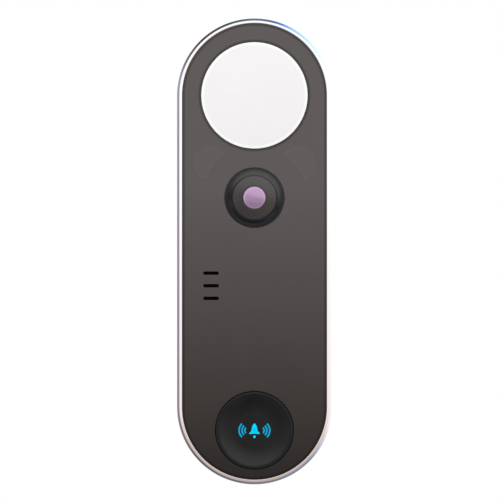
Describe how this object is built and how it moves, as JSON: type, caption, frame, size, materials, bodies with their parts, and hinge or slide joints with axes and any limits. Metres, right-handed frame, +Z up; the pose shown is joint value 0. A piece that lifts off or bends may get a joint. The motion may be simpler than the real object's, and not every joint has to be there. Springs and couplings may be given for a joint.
{
  "type": "video door station",
  "caption": "Slim pill-shaped video door station on a steel wall bracket, with an opal motion lens, camera, infrared windows, sound slots and a lit bell push.",
  "frame": {"origin": "on the wall plane, at the middle of the bracket's back face", "axes": "+Z up, -Y out of the wall towards the visitor, +X to the right seen from the front"},
  "size_m": [0.0466, 0.0292, 0.14],
  "materials": {
    "bracket_steel": "zinc-plated pressed sheet",
    "screw_steel": "plated",
    "brass": "plain",
    "housing_plastic": "fine matt texture",
    "chassis_plastic": "matt",
    "polished_metal": "polished",
    "panel_smoke": "smooth dark taupe",
    "window_smoke": "infrared-clear, dark to the eye",
    "opal": "opal, satin",
    "ring_gloss": "glossy dark ring",
    "barrel_metal": "black anodised",
    "lens_glass": "coated, pinkish",
    "clear_glass": "clear",
    "push_plastic": "smooth dark",
    "clear_plastic": "clear moulded light guide",
    "black_rubber": "matt",
    "seal_silicone": "grey silicone",
    "foam_tape": "double-sided foam tape",
    "board_green": "solder mask",
    "component_black": "moulded",
    "shield_tin": "tinned",
    "sensor_can": "plated can",
    "gold_pin": "gold-plated",
    "speaker_black": "moulded",
    "speaker_paper": "treated",
    "mesh_cloth": "water-shedding",
    "lamp_clear": "clear dome",
    "lamp_blue": "lit"
  },
  "bodies": {
    "bracket": {"wall_bracket": "bracket_steel"},
    "security_screw": {"security_screw": "screw_steel"},
    "station": {"security_insert": "brass", "rear_housing": "housing_plastic", "housing_seal": "seal_silicone", "housing_screws": "screw_steel", "terminal_posts": "brass", "terminal_plates": "screw_steel", "terminal_screws": "screw_steel", "front_frame": "polished_metal", "front_panel": "panel_smoke", "panel_tape": "foam_tape", "ir_window_left": "window_smoke", "ir_window_right": "window_smoke", "chassis": "chassis_plastic", "motion_lens": "opal", "motion_shroud": "chassis_plastic", "motion_sensor": "sensor_can", "camera_ring": "ring_gloss", "camera_seal": "black_rubber", "lens_barrel": "barrel_metal", "front_lens": "lens_glass", "middle_lens": "clear_glass", "lens_spacer": "barrel_metal", "rear_lens": "clear_glass", "lens_mount": "component_black", "filter_housing": "component_black", "filter_coil": "component_black", "image_sensor": "component_black", "mount_screws": "screw_steel", "ir_board": "board_green", "ir_leds": "lamp_clear", "ir_board_screws": "screw_steel", "ir_board_pins": "gold_pin", "sound_mesh": "mesh_cloth", "speaker_gasket": "black_rubber", "speaker_frame": "speaker_black", "speaker_magnet": "shield_tin", "speaker_cone": "speaker_paper", "speaker_contacts": "gold_pin", "button_membrane": "seal_silicone", "button_board": "board_green", "bell_switch": "component_black", "bell_leds": "lamp_blue", "button_board_screws": "screw_steel", "board_link": "component_black", "main_board": "board_green", "main_board_screws": "screw_steel", "processor_shield": "shield_tin", "radio_module": "shield_tin", "power_parts": "component_black", "microphone": "sensor_can", "microphone_boot": "black_rubber", "reset_switch": "component_black"},
    "bell_push": {"bell_button": "push_plastic", "button_light_guide": "clear_plastic"},
    "plunger": {"switch_plunger": "component_black"},
    "filter_slider": {"filter_slider": "component_black", "filter_glasses": "clear_glass"},
    "reset_push": {"reset_button": "component_black"}
  },
  "joints": [
    {"name": "station_lift", "type": "slide", "parent": "bracket", "child": "station", "axis": [0, 0, 1], "range_m": [0, 0.004]},
    {"name": "security_screw_out", "type": "slide", "parent": "bracket", "child": "security_screw", "axis": [0, 0, -1], "range_m": [0, 0.008]},
    {"name": "bell_press", "type": "slide", "parent": "station", "child": "bell_push", "axis": [0, 1, 0], "range_m": [0, 0.0006], "stiffness_N_per_m": 2000, "springref_m": -0.0005, "deforming": ["button_membrane"]},
    {"name": "plunger_press", "type": "slide", "parent": "station", "child": "plunger", "axis": [0, 1, 0], "range_m": [0, 0.0003]},
    {"name": "filter_shift", "type": "slide", "parent": "station", "child": "filter_slider", "axis": [-1, 0, 0], "range_m": [0, 0.0062]},
    {"name": "reset_press", "type": "slide", "parent": "station", "child": "reset_push", "axis": [0, -1, 0], "range_m": [0, 0.0003], "stiffness_N_per_m": 1500, "springref_m": -0.0003}
  ],
  "couplings": [
    {"joint": "plunger_press", "follows": "bell_press", "ratio": 0.5}
  ]
}
